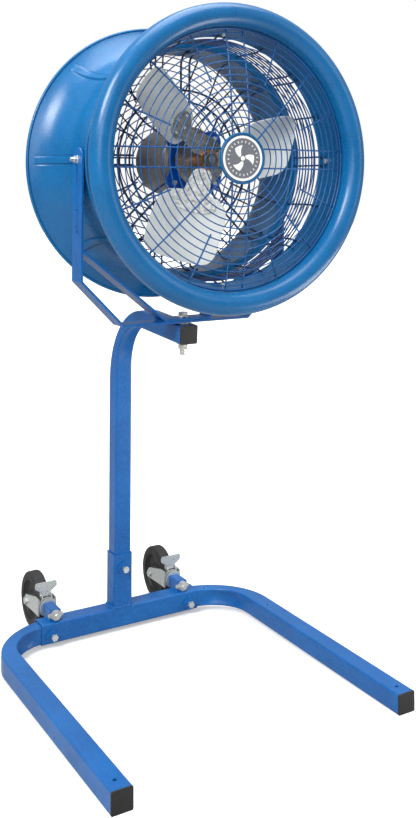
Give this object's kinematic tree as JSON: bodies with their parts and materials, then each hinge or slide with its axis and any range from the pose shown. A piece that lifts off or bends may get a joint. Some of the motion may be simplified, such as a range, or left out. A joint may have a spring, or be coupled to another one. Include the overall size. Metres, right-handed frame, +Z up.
{
  "type": "pedestal air mover",
  "caption": "High-velocity barrel fan with wire guards in a tilting, swivelling yoke on a goose-neck square-tube stand with two rear casters and brakes.",
  "frame": {"origin": "on the mast axis, in the plane of the undersides of the two legs", "axes": "+Z up along the mast; air is blown towards -Y, where the legs point; the casters stand at +Y"},
  "size_m": [0.64, 0.8945, 1.407],
  "materials": {
    "stand_paint": "fine orange-peel blue powder coat on square tube",
    "fan_paint": "fine orange-peel blue powder coat on sheet and wire",
    "black_plastic": "moulded black plug, light grain",
    "zinc_fastener": "bright zinc plating",
    "zinc_plate": "bright zinc plated pressings",
    "wheel_hub_plastic": "moulded dark plastic",
    "wheel_rubber": "dark grey non-marking rubber",
    "dark_wire": "dark blue powder coated wire",
    "motor_paint": "grey-brown enamel",
    "motor_core": "laminated core with windings",
    "bare_steel": "ground and pressed steel",
    "bronze": "machined bronze",
    "aluminium_sheet": "satin aluminium sheet",
    "cable_rubber": "black cable jacket",
    "badge_print": null
  },
  "bodies": {
    "stand": {"crossbar": "stand_paint", "mast_socket": "stand_paint", "weld_nuts": "stand_paint", "leg_left": "stand_paint", "leg_right": "stand_paint", "leg_caps": "black_plastic", "mast": "stand_paint", "mast_cap": "black_plastic", "clamp_bolts": "zinc_fastener", "clamp_bolt_nuts": "zinc_fastener", "caster_tube_left": "stand_paint", "caster_tube_right": "stand_paint", "caster_stems": "zinc_plate", "caster_stem_nuts": "zinc_plate", "caster_stem_heads": "zinc_plate", "pan_bolt": "zinc_fastener", "pan_washers": "zinc_fastener", "pan_nut": "zinc_fastener"},
    "yoke": {"yoke": "fan_paint", "yoke_brace": "fan_paint"},
    "head": {"rear_drum": "fan_paint", "front_bell": "fan_paint", "gap_cage": "dark_wire", "front_guard": "fan_paint", "rear_guard": "dark_wire", "motor_basket": "dark_wire", "motor_plate": "fan_paint", "motor_bolts": "zinc_fastener", "motor_can": "motor_paint", "motor_shield_front": "motor_paint", "motor_shield_rear": "motor_paint", "motor_bearings": "bare_steel", "motor_stator": "motor_core", "cable_gland": "cable_rubber", "power_cable": "cable_rubber", "bell_bolts": "zinc_fastener", "badge_bezel": "fan_paint", "badge_face": "badge_print", "tilt_bolts": "zinc_fastener", "tilt_washers": "zinc_fastener", "tilt_nuts": "zinc_fastener"},
    "propeller": {"motor_rotor": "motor_core", "motor_shaft": "bare_steel", "prop_hub": "bronze", "hub_screw": "zinc_fastener", "prop_spider": "bare_steel", "blades": "aluminium_sheet", "blade_rivets": "aluminium_sheet"},
    "caster_fork_left": {"caster_fork_left": "zinc_plate", "caster_axle_left": "zinc_plate", "brake_pin_left": "zinc_plate"},
    "caster_wheel_left": {"caster_wheel_hub_left": "wheel_hub_plastic", "caster_wheel_tread_left": "wheel_rubber"},
    "brake_lever_left": {"brake_lever_left": "zinc_plate"},
    "caster_fork_right": {"caster_fork_right": "zinc_plate", "caster_axle_right": "zinc_plate", "brake_pin_right": "zinc_plate"},
    "caster_wheel_right": {"caster_wheel_hub_right": "wheel_hub_plastic", "caster_wheel_tread_right": "wheel_rubber"},
    "brake_lever_right": {"brake_lever_right": "zinc_plate"}
  },
  "joints": [
    {"name": "yoke_pan", "type": "hinge", "parent": "stand", "child": "yoke", "pos_m": [0, -0.3256, 0.744], "axis": [0, 0, 1], "range_deg": [-40, 40]},
    {"name": "head_tilt", "type": "hinge", "parent": "yoke", "child": "head", "pos_m": [0, -0.3256, 1.0854], "axis": [1, 0, 0], "range_deg": [-15, 22]},
    {"name": "propeller_spin", "type": "hinge", "parent": "head", "child": "propeller", "pos_m": [0, -0.411, 1.0854], "axis": [0, 1, 0], "continuous": true},
    {"name": "caster_swivel_left", "type": "hinge", "parent": "stand", "child": "caster_fork_left", "pos_m": [-0.161, 0.0435, 0.0555], "axis": [0, 1, 0], "continuous": true},
    {"name": "caster_roll_left", "type": "hinge", "parent": "caster_fork_left", "child": "caster_wheel_left", "pos_m": [-0.161, 0.127, 0.0475], "axis": [1, 0, 0], "continuous": true},
    {"name": "brake_press_left", "type": "hinge", "parent": "caster_fork_left", "child": "brake_lever_left", "pos_m": [-0.161, 0.056, 0.0785], "axis": [1, 0, 0], "range_deg": [-25, 0]},
    {"name": "caster_swivel_right", "type": "hinge", "parent": "stand", "child": "caster_fork_right", "pos_m": [0.161, 0.0435, 0.0555], "axis": [0, 1, 0], "continuous": true},
    {"name": "caster_roll_right", "type": "hinge", "parent": "caster_fork_right", "child": "caster_wheel_right", "pos_m": [0.161, 0.127, 0.0475], "axis": [1, 0, 0], "continuous": true},
    {"name": "brake_press_right", "type": "hinge", "parent": "caster_fork_right", "child": "brake_lever_right", "pos_m": [0.161, 0.056, 0.0785], "axis": [1, 0, 0], "range_deg": [-25, 0]}
  ]
}
